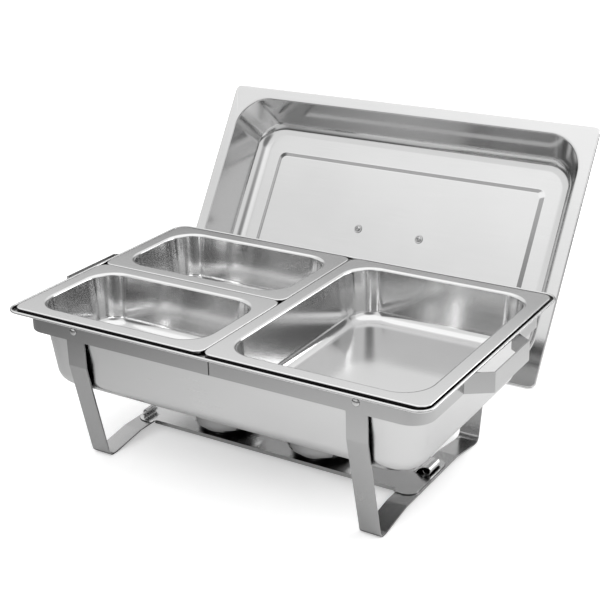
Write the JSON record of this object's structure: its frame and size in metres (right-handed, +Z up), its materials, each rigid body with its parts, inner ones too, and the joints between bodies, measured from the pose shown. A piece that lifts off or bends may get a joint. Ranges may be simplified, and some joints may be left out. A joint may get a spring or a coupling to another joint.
{
  "type": "chafing dish",
  "caption": "Folding-frame chafing dish: water pan with half-size and quarter-size food pans, burner shelf with covered fuel holders, and a loose lid standing behind it.",
  "frame": {"origin": "middle of the overall box at table height, with the lid standing behind the dish", "axes": "+X along the dish to its right, +Y from front to back, +Z up"},
  "size_m": [0.6675, 0.6762, 0.303],
  "materials": {
    "band": "satin stainless strap",
    "legs": "satin stainless strap",
    "fasteners": "polished rivets, washers, screws and nuts",
    "shelf": "bright rolled stainless sheet",
    "burners": "drawn stainless cup",
    "covers": "stamped stainless cover",
    "water_pan": "satin stainless sheet",
    "food_pans": "satin stainless sheet with bright flanges",
    "lid": "polished stainless sheet",
    "lid_handle": "bright stainless strap"
  },
  "bodies": {
    "frame": {"frame_band_left": "band", "frame_band_right": "band", "band_splice_front": "band", "band_splice_rear": "band", "leg_pivot_rivets": "fasteners", "leg_pivot_washers": "fasteners"},
    "leg_left": {"leg_frame_left": "legs"},
    "leg_right": {"leg_frame_right": "legs"},
    "shelf": {"burner_shelf": "shelf"},
    "burner_left": {"fuel_holder_left": "burners", "cover_pivot_left": "fasteners"},
    "burner_right": {"fuel_holder_right": "burners", "cover_pivot_right": "fasteners"},
    "cover_left": {"fuel_cover_left": "covers"},
    "cover_right": {"fuel_cover_right": "covers"},
    "water": {"water_pan": "water_pan"},
    "half": {"half_pan": "food_pans"},
    "quarter_front": {"quarter_pan_front": "food_pans"},
    "quarter_back": {"quarter_pan_back": "food_pans"},
    "lid": {"lid_shell": "lid", "lid_handle": "lid_handle", "lid_screws": "fasteners", "lid_washers": "fasteners", "lid_nuts": "fasteners"}
  },
  "joints": [
    {"name": "water_pan_lift", "type": "slide", "parent": "frame", "child": "water", "axis": [0, 0, 1], "range_m": [0, 0.267]},
    {"name": "leg_fold_left", "type": "hinge", "parent": "frame", "child": "leg_left", "pos_m": [-0.13325, -0.16742, 0.17055], "axis": [0, -1, 0], "range_deg": [0, 90]},
    {"name": "leg_fold_right", "type": "hinge", "parent": "frame", "child": "leg_right", "pos_m": [0.23175, -0.16742, 0.17055], "axis": [0, 1, 0], "range_deg": [0, 90]},
    {"name": "shelf_lift", "type": "slide", "parent": "frame", "child": "shelf", "axis": [0, 0, 1], "range_m": [0, 0.2675]},
    {"name": "half_pan_lift", "type": "slide", "parent": "water", "child": "half", "axis": [0, 0, 1], "range_m": [0, 0.1]},
    {"name": "quarter_pan_front_lift", "type": "slide", "parent": "water", "child": "quarter_front", "axis": [0, 0, 1], "range_m": [0, 0.1]},
    {"name": "quarter_pan_back_lift", "type": "slide", "parent": "water", "child": "quarter_back", "axis": [0, 0, 1], "range_m": [0, 0.1]},
    {"name": "burner_left_slide", "type": "slide", "parent": "shelf", "child": "burner_left", "axis": [1, 0, 0], "range_m": [-0.03, 0.015]},
    {"name": "burner_right_slide", "type": "slide", "parent": "shelf", "child": "burner_right", "axis": [1, 0, 0], "range_m": [-0.015, 0.05]},
    {"name": "cover_left_swing", "type": "hinge", "parent": "burner_left", "child": "cover_left", "pos_m": [-0.03075, -0.12242, 0.0606], "axis": [0, 0, 1], "range_deg": [-100, 0]},
    {"name": "cover_right_swing", "type": "hinge", "parent": "burner_right", "child": "cover_right", "pos_m": [0.10325, -0.12242, 0.0606], "axis": [0, 0, 1], "range_deg": [0, 100]},
    {"name": "lid_lift", "type": "slide", "parent": "frame", "child": "lid", "axis": [0, 0, 1], "range_m": [0, 0.36]}
  ],
  "couplings": [
    {"joint": "leg_fold_left", "follows": "water_pan_lift", "rad_per_m": 5.88},
    {"joint": "leg_fold_right", "follows": "water_pan_lift", "rad_per_m": 5.88},
    {"joint": "shelf_lift", "follows": "water_pan_lift", "ratio": 1}
  ]
}
